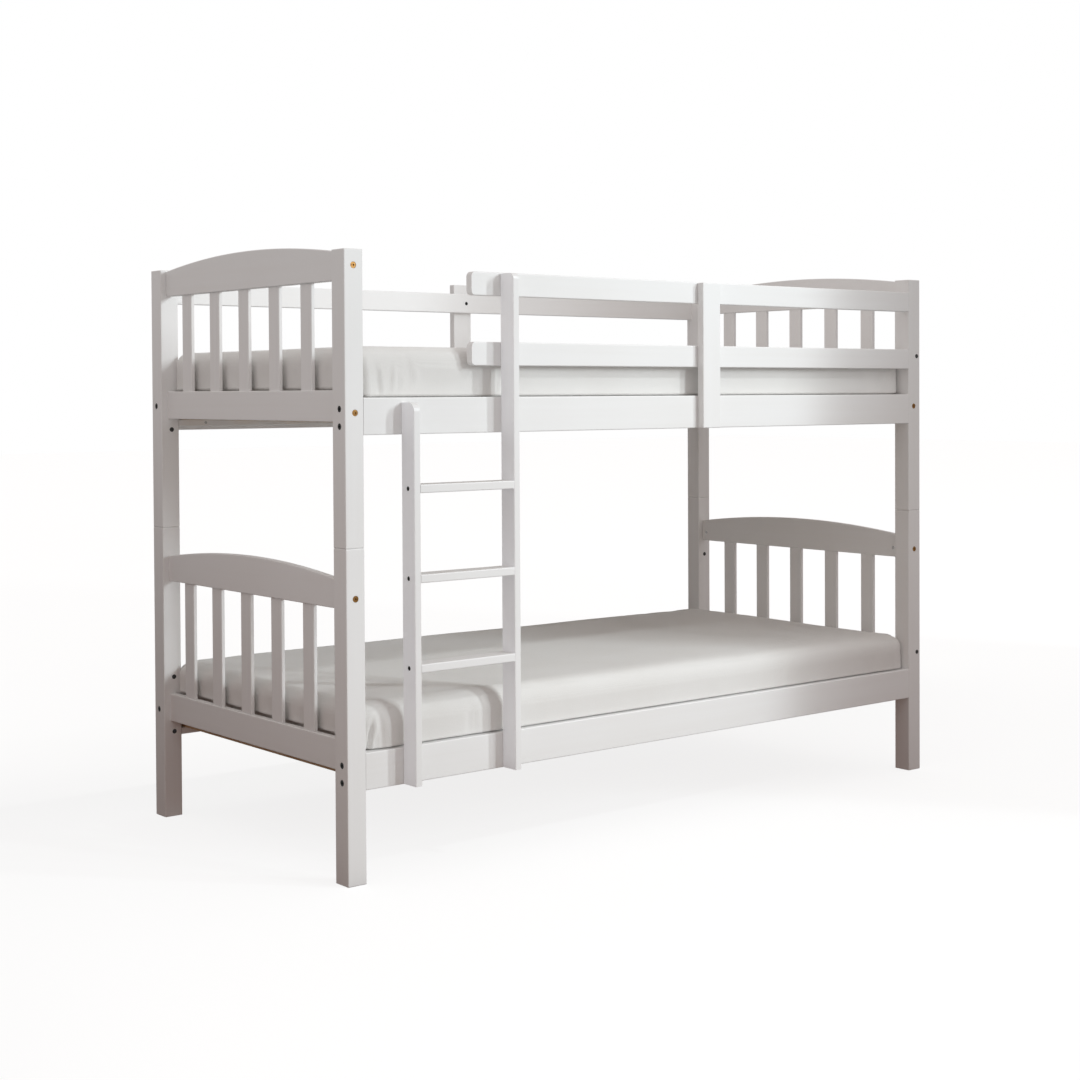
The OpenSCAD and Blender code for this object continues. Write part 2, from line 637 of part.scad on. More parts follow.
module mattress(bed) color(SHEET) middle_frame() timber_block(
    [-mattress_l / 2, mattress_l / 2], [-mattress_w / 2, mattress_w / 2],
    [deck_z(bed) + mattress_gap, deck_z(bed) + mattress_h], mattress_r);

// ---- Assembly ----

post(LOWER, LEFT, FRONT);  // lower_post_front_left
post(LOWER, RIGHT, FRONT);  // lower_post_front_right
post(LOWER, LEFT, BACK);  // lower_post_back_left
post(LOWER, RIGHT, BACK);  // lower_post_back_right
side_rail(LOWER, FRONT);  // lower_side_rail_front
side_rail(LOWER, BACK);  // lower_side_rail_back
arch(LOWER, LEFT);  // lower_arch_left
arch(LOWER, RIGHT);  // lower_arch_right
end_rail(LOWER, LEFT);  // lower_end_rail_left
end_rail(LOWER, RIGHT);  // lower_end_rail_right
spindles(LOWER, LEFT);  // lower_spindles_left
spindles(LOWER, RIGHT);  // lower_spindles_right
slat_ledges(LOWER);  // lower_slat_ledges
slats(LOWER);  // lower_slats
base_screws(LOWER);  // lower_base_screws
side_bolts(LOWER);  // lower_side_bolts
end_bolts(LOWER);  // lower_end_bolts
barrel_nuts(LOWER);  // lower_barrel_nuts
dowels(LOWER);  // lower_dowels
hole_caps(LOWER);  // lower_hole_caps
joining_pins();
post(UPPER, LEFT, FRONT);  // upper_post_front_left
post(UPPER, RIGHT, FRONT);  // upper_post_front_right
post(UPPER, LEFT, BACK);  // upper_post_back_left
post(UPPER, RIGHT, BACK);  // upper_post_back_right
side_rail(UPPER, FRONT);  // upper_side_rail_front
side_rail(UPPER, BACK);  // upper_side_rail_back
arch(UPPER, LEFT);  // upper_arch_left
arch(UPPER, RIGHT);  // upper_arch_right
end_rail(UPPER, LEFT);  // upper_end_rail_left
end_rail(UPPER, RIGHT);  // upper_end_rail_right
spindles(UPPER, LEFT);  // upper_spindles_left
spindles(UPPER, RIGHT);  // upper_spindles_right
slat_ledges(UPPER);  // upper_slat_ledges
slats(UPPER);  // upper_slats
base_screws(UPPER);  // upper_base_screws
side_bolts(UPPER);  // upper_side_bolts
end_bolts(UPPER);  // upper_end_bolts
barrel_nuts(UPPER);  // upper_barrel_nuts
dowels(UPPER);  // upper_dowels
hole_caps(UPPER);  // upper_hole_caps
front_guard(guard_top_z);  // guard_rail_top
front_guard(guard_mid_z);  // guard_rail_middle
guard_board_front();
guard_rail_back();
guard_batten_back();
guard_screws();
guard_dowels();
ladder_stile_left();
ladder_stile_right();
rung(0);  // ladder_rung_bottom
rung(1);  // ladder_rung_middle
rung(2);  // ladder_rung_top
ladder_rung_screws();
ladder_fixing_screws();
ladder_dowels();
mattress(LOWER);  // lower_mattress
mattress(UPPER);  // upper_mattress
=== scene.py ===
import json
import math

import bpy
import numpy as np
from mathutils import Matrix, Vector

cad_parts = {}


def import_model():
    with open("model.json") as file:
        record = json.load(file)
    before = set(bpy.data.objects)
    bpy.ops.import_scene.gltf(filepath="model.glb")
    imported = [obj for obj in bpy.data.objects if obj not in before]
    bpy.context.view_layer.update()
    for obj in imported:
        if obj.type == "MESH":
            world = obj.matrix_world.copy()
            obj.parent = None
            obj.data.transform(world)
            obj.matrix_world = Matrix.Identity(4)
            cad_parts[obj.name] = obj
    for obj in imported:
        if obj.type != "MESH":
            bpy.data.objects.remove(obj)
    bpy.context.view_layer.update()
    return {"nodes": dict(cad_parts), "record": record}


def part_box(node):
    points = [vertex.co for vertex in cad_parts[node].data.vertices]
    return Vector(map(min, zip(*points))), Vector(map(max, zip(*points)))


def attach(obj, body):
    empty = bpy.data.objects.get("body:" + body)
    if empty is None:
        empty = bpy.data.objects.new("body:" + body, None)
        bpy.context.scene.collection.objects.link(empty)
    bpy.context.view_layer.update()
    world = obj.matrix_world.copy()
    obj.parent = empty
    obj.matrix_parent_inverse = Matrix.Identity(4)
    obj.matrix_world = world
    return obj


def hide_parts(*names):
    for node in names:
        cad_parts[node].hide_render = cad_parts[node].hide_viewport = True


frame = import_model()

MM = 0.001
RNG = np.random.default_rng(7)
X, Y, Z = range(3)


def towards(azimuth, elevation):
    """The direction towards a light: the azimuth goes from the front (-Y) towards +X, in degrees."""
    a = math.radians(azimuth)
    e = math.radians(elevation)
    return Vector((math.sin(a) * math.cos(e), -math.cos(a) * math.cos(e), math.sin(e)))


# ---- Node helpers ----

class Nodes:
    """A short way to build a material's node tree."""

    def __init__(self, name):
        self.material = bpy.data.materials.new(name)
        self.material.use_nodes = True
        self.tree = self.material.node_tree
        self.tree.nodes.clear()
        self.out = self.add("ShaderNodeOutputMaterial")
        self.shader = self.add("ShaderNodeBsdfPrincipled")
        self.link(self.shader, "BSDF", self.out, "Surface")
        self.coords = self.add("ShaderNodeTexCoord")

    def add(self, kind, **values):
        node = self.tree.nodes.new(kind)
        for key, value in values.items():
            setattr(node, key, value)
        return node

    def link(self, a, output, b, socket):
        self.tree.links.new(a.outputs[output], b.inputs[socket])

    def scaled(self, scale):
        """The object's own coordinates, multiplied by a scale along each axis."""
        node = self.add("ShaderNodeMapping")
        node.inputs["Scale"].default_value = scale
        self.link(self.coords, "Object", node, "Vector")
        return node

    def noise(self, scale, detail=3.0, rough=0.5, warp=0.0):
        """Noise whose scale can differ along each axis, in features per metre."""
        vector = self.scaled(scale)
        node = self.add("ShaderNodeTexNoise")
        node.inputs["Scale"].default_value = 1.0
        node.inputs["Detail"].default_value = detail
        node.inputs["Roughness"].default_value = rough
        node.inputs["Distortion"].default_value = warp
        self.link(vector, "Vector", node, "Vector")
        return node

    def ramp(self, source, output, stops):
        """Maps 0..1 to colours; stops are (place, colour)."""
        node = self.add("ShaderNodeValToRGB")
        elements = node.color_ramp.elements
        while len(elements) < len(stops):
            elements.new(0.5)
        for element, (place, colour) in zip(elements, stops):
            element.position = place
            element.color = (*colour, 1.0)
        self.link(source, output, node, "Fac")
        return node

    def math(self, operation, a, b=None):
        """A calculation on numbers or on (node, output) pairs; gives such a pair."""
        node = self.add("ShaderNodeMath", operation=operation)
        for socket, value in enumerate((a, b)):
            if value is None:
                continue
            if isinstance(value, tuple):
                self.link(value[0], value[1], node, socket)
            else:
                node.inputs[socket].default_value = value
        return node, 0

    def blend(self, a, b, share):
        """A mix of two (node, output) pairs, with this share of the first."""
        return self.math("ADD", self.math("MULTIPLY", a, share), self.math("MULTIPLY", b, 1 - share))

    def bump(self, source, output, distance, strength, under=None):
        """A bump of this height in metres, on top of another bump if one is given."""
        node = self.add("ShaderNodeBump")
        node.inputs["Distance"].default_value = distance
        node.inputs["Strength"].default_value = strength
        self.link(source, output, node, "Height")
        if under:
            self.link(under, "Normal", node, "Normal")
        return node

    def range_to(self, source, output, low, high, socket):
        """Maps 0..1 to low..high and feeds the shader."""
        node = self.add("ShaderNodeMapRange")
        node.inputs["To Min"].default_value = low
        node.inputs["To Max"].default_value = high
        self.link(source, output, node, "Value")
        self.link(node, "Result", self.shader, socket)


def grey(value):
    return (value, value, value)


def along(axis, slow, fast):
    """A scale with few features along the timber's length and many across it."""
    return tuple(slow if i == axis else fast for i in range(3))


# ---- Materials ----

def white_paint(axis):
    """Satin white paint over pine: faint grain along the timber, brush marks, and a warm tint in places."""
    n = Nodes("white_paint_" + "xyz"[axis])
    tint = n.noise((2.3, 2.3, 2.3), 2.0)
    streaks = n.noise(along(axis, 1.6, 55.0), 3.0, 0.55, warp=0.25)
    mix = n.blend((tint, "Fac"), (streaks, "Fac"), 0.6)
    colour = n.ramp(*mix, [
        (0.3, (0.855, 0.842, 0.83)),
        (0.52, (0.875, 0.868, 0.862)),
        (0.75, (0.89, 0.888, 0.886)),
    ])
    n.link(colour, "Color", n.shader, "Base Color")
    grain = n.noise(along(axis, 3.0, 210.0), 4.0, 0.6, warp=0.4)
    brush = n.noise(along(axis, 7.0, 900.0), 2.0, 0.5)
    level = n.noise((14.0, 14.0, 14.0), 2.0)
    n.range_to(streaks, "Fac", 0.30, 0.50, "Roughness")
    first = n.bump(level, "Fac", 0.0008, 0.35)
    second = n.bump(grain, "Fac", 0.0003, 0.3, first)
    third = n.bump(brush, "Fac", 0.0001, 0.35, second)
    n.link(third, "Normal", n.shader, "Normal")
    n.shader.inputs["Specular IOR Level"].default_value = 0.5
    n.shader.inputs["Coat Weight"].default_value = 0.12
    n.shader.inputs["Coat Roughness"].default_value = 0.28
    return n.material


def bare_pine(axis):
    """Planed pine: growth lines along the timber, darker late wood, a dry surface."""
    n = Nodes("bare_pine_" + "xyz"[axis])
    rings = n.noise(along(axis, 1.4, 38.0), 2.0, 0.5, warp=0.8)
    lines = n.math("FRACT", n.math("MULTIPLY", (rings, "Fac"), 9.0))
    colour = n.ramp(*lines, [
        (0.0, (0.74, 0.55, 0.34)),
        (0.55, (0.70, 0.50, 0.29)),
        (0.85, (0.52, 0.33, 0.17)),
        (1.0, (0.72, 0.53, 0.32)),
    ])
    fibres = n.noise(along(axis, 9.0, 700.0), 3.0, 0.6)
    shade = n.add("ShaderNodeMixRGB", blend_type="MULTIPLY")
    shade.inputs["Fac"].default_value = 0.35
    n.link(colour, "Color", shade, "Color1")
    n.link(n.ramp(fibres, "Fac", [(0.3, grey(0.72)), (0.7, grey(1.0))]), "Color", shade, "Color2")
    n.link(shade, "Color", n.shader, "Base Color")
    n.range_to(fibres, "Fac", 0.55, 0.8, "Roughness")
    first = n.bump(*lines, 0.0002, 0.4)
    n.link(n.bump(fibres, "Fac", 0.0002, 0.5, first), "Normal", n.shader, "Normal")
    return n.material


def metal(name, dark, light, rough, metallic=1.0):
    """Turned metal: mottled plating and fine scratches."""
    n = Nodes(name)
    mottle = n.noise((260.0, 260.0, 260.0), 4.0, 0.6)
    scratches = n.noise((90.0, 1500.0, 1500.0), 2.0, 0.5)
    n.link(n.ramp(mottle, "Fac", [(0.3, dark), (0.7, light)]), "Color", n.shader, "Base Color")
    n.range_to(mottle, "Fac", rough[0], rough[1], "Roughness")
    n.link(n.bump(scratches, "Fac", 0.00005, 0.5), "Normal", n.shader, "Normal")
    n.shader.inputs["Metallic"].default_value = metallic
    return n.material


def black_plastic():
    """Moulded plastic with a fine matt texture."""
    n = Nodes("black_plastic")
    speckle = n.noise((1800.0, 1800.0, 1800.0), 2.0)
    n.link(n.ramp(speckle, "Fac", [(0.35, grey(0.02)), (0.7, grey(0.045))]), "Color", n.shader, "Base Color")
    n.range_to(speckle, "Fac", 0.45, 0.65, "Roughness")
    n.link(n.bump(speckle, "Fac", 0.00006, 0.6), "Normal", n.shader, "Normal")
    return n.material


def bed_sheet(name):
    """Off-white cotton jersey: fine woven threads, uneven yarn, soft sheen."""
    n = Nodes(name)
    threads = []
    for direction in ("X", "Y", "Z"):
        wave = n.add("ShaderNodeTexWave", wave_type="BANDS", bands_direction=direction)
        wave.inputs["Scale"].default_value = 1.0
        wave.inputs["Distortion"].default_value = 0.0
        n.link(n.scaled((250.0, 250.0, 250.0)), "Vector", wave, "Vector")
        threads.append((wave, "Fac"))
    woven = [n.math("MULTIPLY", threads[a], threads[b]) for a, b in ((X, Y), (Y, Z), (Z, X))]
    weave = n.math("ADD", n.math("ADD", woven[0], woven[1]), woven[2])
    yarn = n.noise((420.0, 420.0, 420.0), 3.0, 0.6)
    cloud = n.noise((5.0, 5.0, 5.0), 3.0)
    mixed = n.blend((yarn, "Fac"), (cloud, "Fac"), 0.45)
    colour = n.ramp(*mixed, [(0.3, (0.795, 0.78, 0.755)), (0.7, (0.85, 0.842, 0.828))])
    n.link(colour, "Color", n.shader, "Base Color")
    n.range_to(yarn, "Fac", 0.78, 0.95, "Roughness")
    ripples = n.noise((16.0, 16.0, 9.0), 3.0, 0.5)
    first = n.bump(ripples, "Fac", 0.0025, 0.35)
    second = n.bump(*weave, 0.00025, 0.5, first)
    n.link(n.bump(yarn, "Fac", 0.0002, 0.4, second), "Normal", n.shader, "Normal")
    n.shader.inputs["Sheen Weight"].default_value = 0.35
    n.shader.inputs["Sheen Roughness"].default_value = 0.5
    n.shader.inputs["Specular IOR Level"].default_value = 0.25
    return n.material


def timber_axis(node):
    """The axis along which one board of a node is longest."""
    if "spindles" in node:
        return Z
    if "slats" in node:
        return Y
    if "ledges" in node:
        return X
    low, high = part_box(node)
    size = [high[i] - low[i] for i in range(3)]
    return size.index(max(size))


def dress_cad_nodes():
    """Gives each CAD node the material of its slot, its grain along the timber."""
    slots = {s["node"]: s["material_slot"] for s in frame["record"]["subparts"]}
    paints = [white_paint(axis) for axis in range(3)]
    pines = [bare_pine(axis) for axis in range(3)]
    others = {
        "zinc_steel": metal("zinc_steel", grey(0.42), grey(0.62), (0.28, 0.45)),
        "brass": metal("brass", (0.20, 0.095, 0.028), (0.42, 0.235, 0.085), (0.2, 0.36)),
        "black_steel": metal("black_steel", grey(0.012), grey(0.05), (0.3, 0.5), 0.7),
        "black_plastic": black_plastic(),
        "sheet": bed_sheet("sheet_under"),
    }
    for name, obj in frame["nodes"].items():
        slot = slots[name]
        if slot == "white_paint":
            material = paints[timber_axis(name)]
        elif slot == "bare_pine":
            material = pines[timber_axis(name)]
        else:
            material = others[slot]
        obj.data.materials.clear()
        obj.data.materials.append(material)


# ---- Mattresses ----

# The slab starts this much inside its CAD block on each side, with these radii
SLAB_MARGIN = 3 * MM
SLAB_PLAN_R = 38 * MM
SLAB_EDGE_R = 28 * MM
ARC_STEPS = 8
# Mesh size, and how far the cloth may move
SHEET_VOXEL = 9 * MM
SHEET_CAP = 6 * MM
CLOTH_FRAMES = 20
# Above the end rails the mattress swells out this much, and stops this far short of their inner faces
END_SWELL = 20 * MM
END_GAP = 2 * MM
# The upright corners are pushed out this much, and stop this far short of the posts
CORNER_PUSH = 12 * MM
POST_GAP = 1.5 * MM
# Along a side the swelling fades between these two distances from the corner
SIDE_FADE = (-0.03, 0.02)
END_FADE = (0.022, 0.034)
# It begins between these two heights from the rail's top
SWELL_LIP = (-0.0015, 0.0025)
# How uneven the top is, how far its border rolls down, and how far it may rise above the CAD block
TOP_WAVE = 0.0011
BORDER_ROLL = 0.0015
TOP_RISE = 1 * MM
# How many random folds each side has
LONG_SIDE_CREASES = 5
END_CREASES = 9


def rounded_slab(name, low, high, plan_r, edge_r):
    """A closed slab with rounded corners in plan and rounded top and bottom edges."""
    arc = [math.pi / 2 * i / ARC_STEPS for i in range(ARC_STEPS + 1)]
    centre = (low + high) / 2
    half = (high - low) / 2
    rows = [(edge_r * (1 - math.sin(a)), half.z - edge_r + edge_r * math.cos(a)) for a in arc]
    profile = rows + [(inset, -z) for inset, z in reversed(rows)]
    rings = []
    for inset, z in profile:
        ring = []
        r = plan_r - inset
        for quarter, (sx, sy) in enumerate(((1, 1), (-1, 1), (-1, -1), (1, -1))):
            for a in arc:
                t = a + quarter * math.pi / 2
                ring.append((
                    centre.x + sx * (half.x - plan_r) + r * math.cos(t),
                    centre.y + sy * (half.y - plan_r) + r * math.sin(t),
                    centre.z + z,
                ))
        rings.append(ring)
    count = len(rings[0])
    points = [p for ring in rings for p in ring]
    faces = []
    for row in range(len(rings) - 1):
        for i in range(count):
            j = (i + 1) % count
            faces.append((row * count + i, (row + 1) * count + i, (row + 1) * count + j, row * count + j))
    faces.append(tuple(range(count)))
    faces.append(tuple(reversed(range((len(rings) - 1) * count, len(rings) * count))))
    mesh = bpy.data.meshes.new(name)
    mesh.from_pydata(points, [], faces)
    mesh.update()
    obj = bpy.data.objects.new(name, mesh)
    bpy.context.scene.collection.objects.link(obj)
    return obj


def apply_modifiers(obj):
    """Turns what the modifiers make into the object's own mesh."""
    bpy.context.view_layer.update()
    depsgraph = bpy.context.evaluated_depsgraph_get()
    mesh = bpy.data.meshes.new_from_object(obj.evaluated_get(depsgraph))
    obj.modifiers.clear()
    obj.data = mesh


def remesh(obj, size):
    """Rebuilds the mesh with even quads of about this size."""
    modifier = obj.modifiers.new("voxels", "REMESH")
    modifier.mode = "VOXEL"
    modifier.voxel_size = size
    apply_modifiers(obj)


def get_points(obj):
    """The mesh's points as rows of an array."""
    points = np.empty(len(obj.data.vertices) * 3)
    obj.data.vertices.foreach_get("co", points)
    return points.reshape(-1, 3)


def set_points(obj, points):
    """Moves the mesh's points to these rows."""
    obj.data.vertices.foreach_set("co", points.reshape(-1))
    obj.data.update()


def inflate(obj):
    """Blows the sheet up a little with cloth, as foam pushes it out, and caps how far it moves."""
    before = get_points(obj)
    modifier = obj.modifiers.new("cloth", "CLOTH")
    settings = modifier.settings
    settings.quality = 4
    settings.mass = 0.3
    settings.use_pressure = True
    settings.uniform_pressure_force = 4.0
    settings.tension_stiffness = 12
    settings.compression_stiffness = 12
    settings.bending_stiffness = 0.6
    settings.effector_weights.gravity = 0.0
    scene = bpy.context.scene
    for step in range(1, CLOTH_FRAMES + 1):
        scene.frame_set(step)
    apply_modifiers(obj)
    scene.frame_set(1)
    move = get_points(obj) - before
    length = np.linalg.norm(move, axis=1, keepdims=True)
    set_points(obj, before + move * np.minimum(1.0, SHEET_CAP / np.maximum(length, 1e-9)))


def smooth_step(x, low, high):
    """Rises smoothly from 0 at low to 1 at high."""
    t = np.clip((x - low) / (high - low), 0.0, 1.0)
    return t * t * (3 - 2 * t)


def crease(points, low, high, side, place, lean, width, depth, span):
    """One soft fold in a side face, a valley beside a ridge. side is (axis, which end), place is
    measured along the face from the low corner, lean is its slope, and span is where it runs, as a
    share of the height."""
    axis, end = side
    other = 1 - axis
    share = (points[:, Z] - low.z) / (high.z - low.z)
    edge = high[axis] if end > 0 else low[axis]
    near = 1 - smooth_step(end * (edge - points[:, axis]), 0.03, 0.055)
    across = points[:, other] - (low[other] + place) - lean * (share - span[0]) * (high.z - low.z)
    starts = smooth_step(share, span[0] - 0.12, span[0] + 0.15)
    ends = smooth_step(share, span[1] - 0.25, span[1])
    fade = starts * (1 - ends)
    valley = np.exp(-(across / width) ** 2)
    ridge = np.exp(-((across - 1.6 * width) / (1.1 * width)) ** 2)
    points[:, axis] -= end * depth * near * fade * (valley - 0.65 * ridge)


def random_creases(points, low, high, side, count, length):
    """Soft, nearly upright folds along a side, closer together near the corners."""
    for _ in range(count):
        t = 2 * RNG.random() - 1
        place = length * (0.5 + 0.5 * math.copysign(abs(t) ** 0.55, t))
        lean = RNG.uniform(-0.25, 0.25)
        width = RNG.uniform(0.007, 0.014)
        depth = RNG.uniform(0.0008, 0.0022)
        span = (RNG.uniform(0.05, 0.3), RNG.uniform(0.7, 0.98))
        crease(points, low, high, side, place, lean, width, depth, span)


# Folds near the left corner of each front side: place, lean, width, depth, span
CORNER_FOLDS = {
    "lower": [
        (0.012, 0.16, 0.0045, 0.0085, (0.20, 0.85)),
        (0.022, 0.10, 0.0050, 0.0036, (0.0, 0.70)),
        (0.033, 0.06, 0.0050, 0.0028, (0.0, 0.60)),
        (0.050, -0.05, 0.0100, 0.0020, (0.1, 0.95)),
    ],
    "upper": [
        (0.012, -0.05, 0.0110, 0.0065, (0.0, 0.95)),
        (0.058, -0.08, 0.0060, 0.0030, (0.25, 0.80)),
        (0.086, 0.08, 0.0060, 0.0028, (0.35, 0.82)),
        (0.143, -0.12, 0.0100, 0.0014, (0.45, 1.0)),
    ],
}


def relax_surface(points, low, high, seed, slump):
    """Gives the top its gentle unevenness and its slightly rolled border, and lowers its right end by
    slump."""
    share = (points[:, Z] - low.z) / (high.z - low.z)
    top = smooth_step(share, 0.75, 0.97)
    x = points[:, X] - low.x
    y = points[:, Y] - low.y
    phase = seed * 1.7
    wave = np.sin(5.1 * x + phase) * np.cos(7.3 * y - phase) + 0.6 * np.sin(11.3 * x - 6.2 * y + 2 * phase)
    points[:, Z] += TOP_WAVE * top * wave
    inset = np.minimum.reduce([x, high.x - points[:, X], y, high.y - points[:, Y]])
    points[:, Z] -= BORDER_ROLL * top * (1 - smooth_step(inset, 0.0, 0.12))
    points[:, Z] -= slump * top * np.clip(x / (high.x - low.x) - 0.25, 0.0, 0.75) / 0.75


def swell(points, low, high, axis, amount, rail_top, fade):
    """Above the two rails that bound it on one axis the mattress swells out over their tops. fade is
    the two distances from the corner between which the swelling comes in."""
    other = 1 - axis
    middle = (low[other] + high[other]) / 2
    half = (high[other] - low[other]) / 2
    between = 1 - smooth_step(np.abs(points[:, other] - middle), half - fade[1], half - fade[0])
    above = smooth_step(points[:, Z], rail_top + SWELL_LIP[0], rail_top + SWELL_LIP[1])
    softer = 1 - 0.25 * smooth_step(points[:, Z], (rail_top + high.z) / 2, high.z)
    for end, edge in ((-1, low[axis]), (1, high[axis])):
        near = 1 - smooth_step(np.abs(points[:, axis] - edge), 0.03, 0.13)
        points[:, axis] += end * amount * near * between * above * softer


def fill_corners(points, low, high, post):
    """Pushes the upright corners out along X, up to the posts. post is the box of the front left one."""
    middle = (low.y + high.y) / 2
    half = (high.y - low.y) / 2
    x = points[:, X]
    y = np.abs(points[:, Y] - middle)
    near_end = smooth_step(np.abs(x), high.x - 0.050, high.x - 0.012)
    near_side = smooth_step(y, half - 0.050, half - 0.020)
    beside_post = y > middle - post[1].y - 0.003
    limit = np.where(beside_post, -post[1].x - POST_GAP, np.inf)
    points[:, X] = np.clip(x + np.sign(x) * CORNER_PUSH * (near_end * near_side), -limit, limit)


def mattress(name, node, body, seed, swelling, widest, slump):
    """A foam mattress in a fitted sheet, in the space of its CAD block. It swells out over the side
    rails, at most to widest from its middle, and above the end rails towards the spindles."""
    low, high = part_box(node)
    margin = Vector((SLAB_MARGIN, SLAB_MARGIN, 0.0))
    obj = rounded_slab(name, low + margin, high - margin, SLAB_PLAN_R, SLAB_EDGE_R)
    remesh(obj, SHEET_VOXEL)
    inflate(obj)
    points = get_points(obj)
    relax_surface(points, low, high, seed, slump)
    level = node.split("_")[0]
    side_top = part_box(level + "_side_rail_front")[1].z
    end_rail_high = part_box(level + "_end_rail_left")[1]
    end_top = end_rail_high.z
    left_limit = end_rail_high.x + END_GAP
    size = high - low
    for end in (-1, 1):
        random_creases(points, low, high, (Y, end), LONG_SIDE_CREASES, size.x)
    for end in (-1, 1):
        random_creases(points, low, high, (X, end), END_CREASES, size.y)
    set_points(obj, points)
    smooth = obj.modifiers.new("smooth", "SMOOTH")
    smooth.factor = 0.5
    smooth.iterations = 2
    finer = obj.modifiers.new("finer", "SUBSURF")
    finer.levels = 1
    finer.render_levels = 1
    apply_modifiers(obj)
    points = get_points(obj)
    swell(points, low, high, Y, swelling, side_top, SIDE_FADE)
    swell(points, low, high, X, END_SWELL, end_top, END_FADE)
    fill_corners(points, low, high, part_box(level + "_post_front_left"))
    for place, lean, width, depth, span in CORNER_FOLDS[level]:
        crease(points, low, high, (Y, -1), place, lean, width, depth, span)
    centre_y = (low.y + high.y) / 2
    points[:, X] = np.clip(points[:, X], left_limit, -left_limit)
    points[:, Y] = np.clip(points[:, Y], centre_y - widest, centre_y + widest)
    points[:, Z] = np.clip(points[:, Z], low.z, high.z + TOP_RISE)
    set_points(obj, points)
    obj.data.shade_smooth()
    obj.data.materials.clear()
    obj.data.materials.append(bed_sheet(name + "_cloth"))
    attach(obj, body)
    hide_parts(node)


# ---- Stage, light and camera ----

def hide_from(obj, *rays):
    """These kinds of ray don't see this object."""
    for ray in rays:
        setattr(obj, "visible_" + ray, False)


def quad(name, corners, material):
    """A flat four-sided stage object."""
    mesh = bpy.data.meshes.new(name)
    mesh.from_pydata(corners, [], [(0, 1, 2, 3)])
    mesh.materials.append(material)
    obj = bpy.data.objects.new(name, mesh)
    bpy.context.scene.collection.objects.link(obj)
    return obj


def glow(name, base, strength, tint=(1, 1, 1)):
    """A matt stage material with light of its own."""
    n = Nodes(name)
    n.shader.inputs["Base Color"].default_value = (base, base, base, 1)
    n.shader.inputs["Roughness"].default_value = 0.9
    n.shader.inputs["Specular IOR Level"].default_value = 0.1
    n.shader.inputs["Emission Color"].default_value = (*tint, 1)
    n.shader.inputs["Emission Strength"].default_value = strength
    return n.material


FLOOR_HALF = 30


def floor():
    """A pale floor that doesn't throw its colour up onto the bed."""
    r = FLOOR_HALF
    corners = [(-r, -r, 0), (r, -r, 0), (r, r, 0), (-r, r, 0)]
    plane = quad("floor", corners, glow("floor", base=0.24, strength=0.83))
    hide_from(plane, "diffuse", "glossy")


# What the bed sees round it: low and high corner, and colour of its light
SURROUNDINGS = {
    "ground_front": ((-2.2, -2.0, -0.002), (0.6, -0.5, -0.002), (0.27, 0.22, 0.19)),
    "ground_right": ((0.6, -2.0, -0.002), (2.2, -0.5, -0.002), (0.08, 0.03, 0.02)),
    "ground_back": ((-2.2, -0.5, -0.002), (2.2, 1.6, -0.002), (0.07, 0.015, 0.0)),
    "left": ((-2.3, -1.2, 0.0), (-2.3, 1.6, 0.6), (0.10, 0.03, 0.015)),
    "wall": ((-2.2, 0.85, 0.0), (2.2, 0.85, 1.1), (0.09, 0.09, 0.086)),
}


def surroundings():
    """A warm ground, brightest in front of the bed at the left, a low dim screen at the left end, and
    a dim wall behind. Only the bed sees them."""
    for name, (low, high, colour) in SURROUNDINGS.items():
        if low[Z] == high[Z]:
            corners = [low, (high[X], low[Y], low[Z]), high, (low[X], high[Y], high[Z])]
        else:
            corners = [low, (high[X], high[Y], low[Z]), high, (low[X], low[Y], high[Z])]
        obj = quad(name, corners, glow(name, base=0.0, strength=1.0, tint=colour))
        hide_from(obj, "camera", "shadow", "glossy", "transmission")


# Two tall, narrow windows in front and to the right
WINDOW_A = towards(37, 22)
WINDOW_B = towards(21, 17)
WINDOW_AWAY = 20.0
WINDOW_WIDTH = 0.9
WINDOW_COLOUR = (0.85, 0.93, 0.955)


def shade(name, window, low, high, away, reach):
    """A blocker on the way to a window. Its near edge throws its soft shadow through two points, low
    and high, and beyond them both, and the shadow reaches to the right of that edge."""
    side = Vector((-window.y, window.x, 0)).normalized() * reach
    share = away / WINDOW_AWAY
    step = Vector(high) - Vector(low)
    a, b = (Vector(low) + step * k for k in (-4, 5))
    a, b = (p.lerp(window * WINDOW_AWAY, share) for p in (a, b))
    obj = quad(name, [a, a + side, b + side, b], glow(name, base=0.0, strength=0.0))
    hide_from(obj, "camera", "diffuse", "glossy", "transmission")
    return obj


def passes_through(light, *shades):
    """These shades throw no shadow from this light."""
    group = bpy.data.collections.new(light.name + "_ignores")
    for obj in shades:
        group.objects.link(obj)
    for item in group.collection_objects:
        item.light_linking.link_state = "EXCLUDE"
    light.light_linking.blocker_collection = group


def shines_only_on(light, nodes):
    """This light reaches only these CAD nodes, softly, with no shadows in between."""
    group = bpy.data.collections.new(light.name + "_lights")
    for name in nodes:
        group.objects.link(frame["nodes"][name])
    light.light_linking.receiver_collection = group
    light.data.use_shadow = False
    light.visible_glossy = False


# Colour of the fill light from below, from the horizon and from above
FILL = (
    (0.0, (0.10, 0.26, 0.28)),
    (0.5, (0.56, 0.52, 0.513)),
    (1.0, (0.66, 0.625, 0.607)),
)


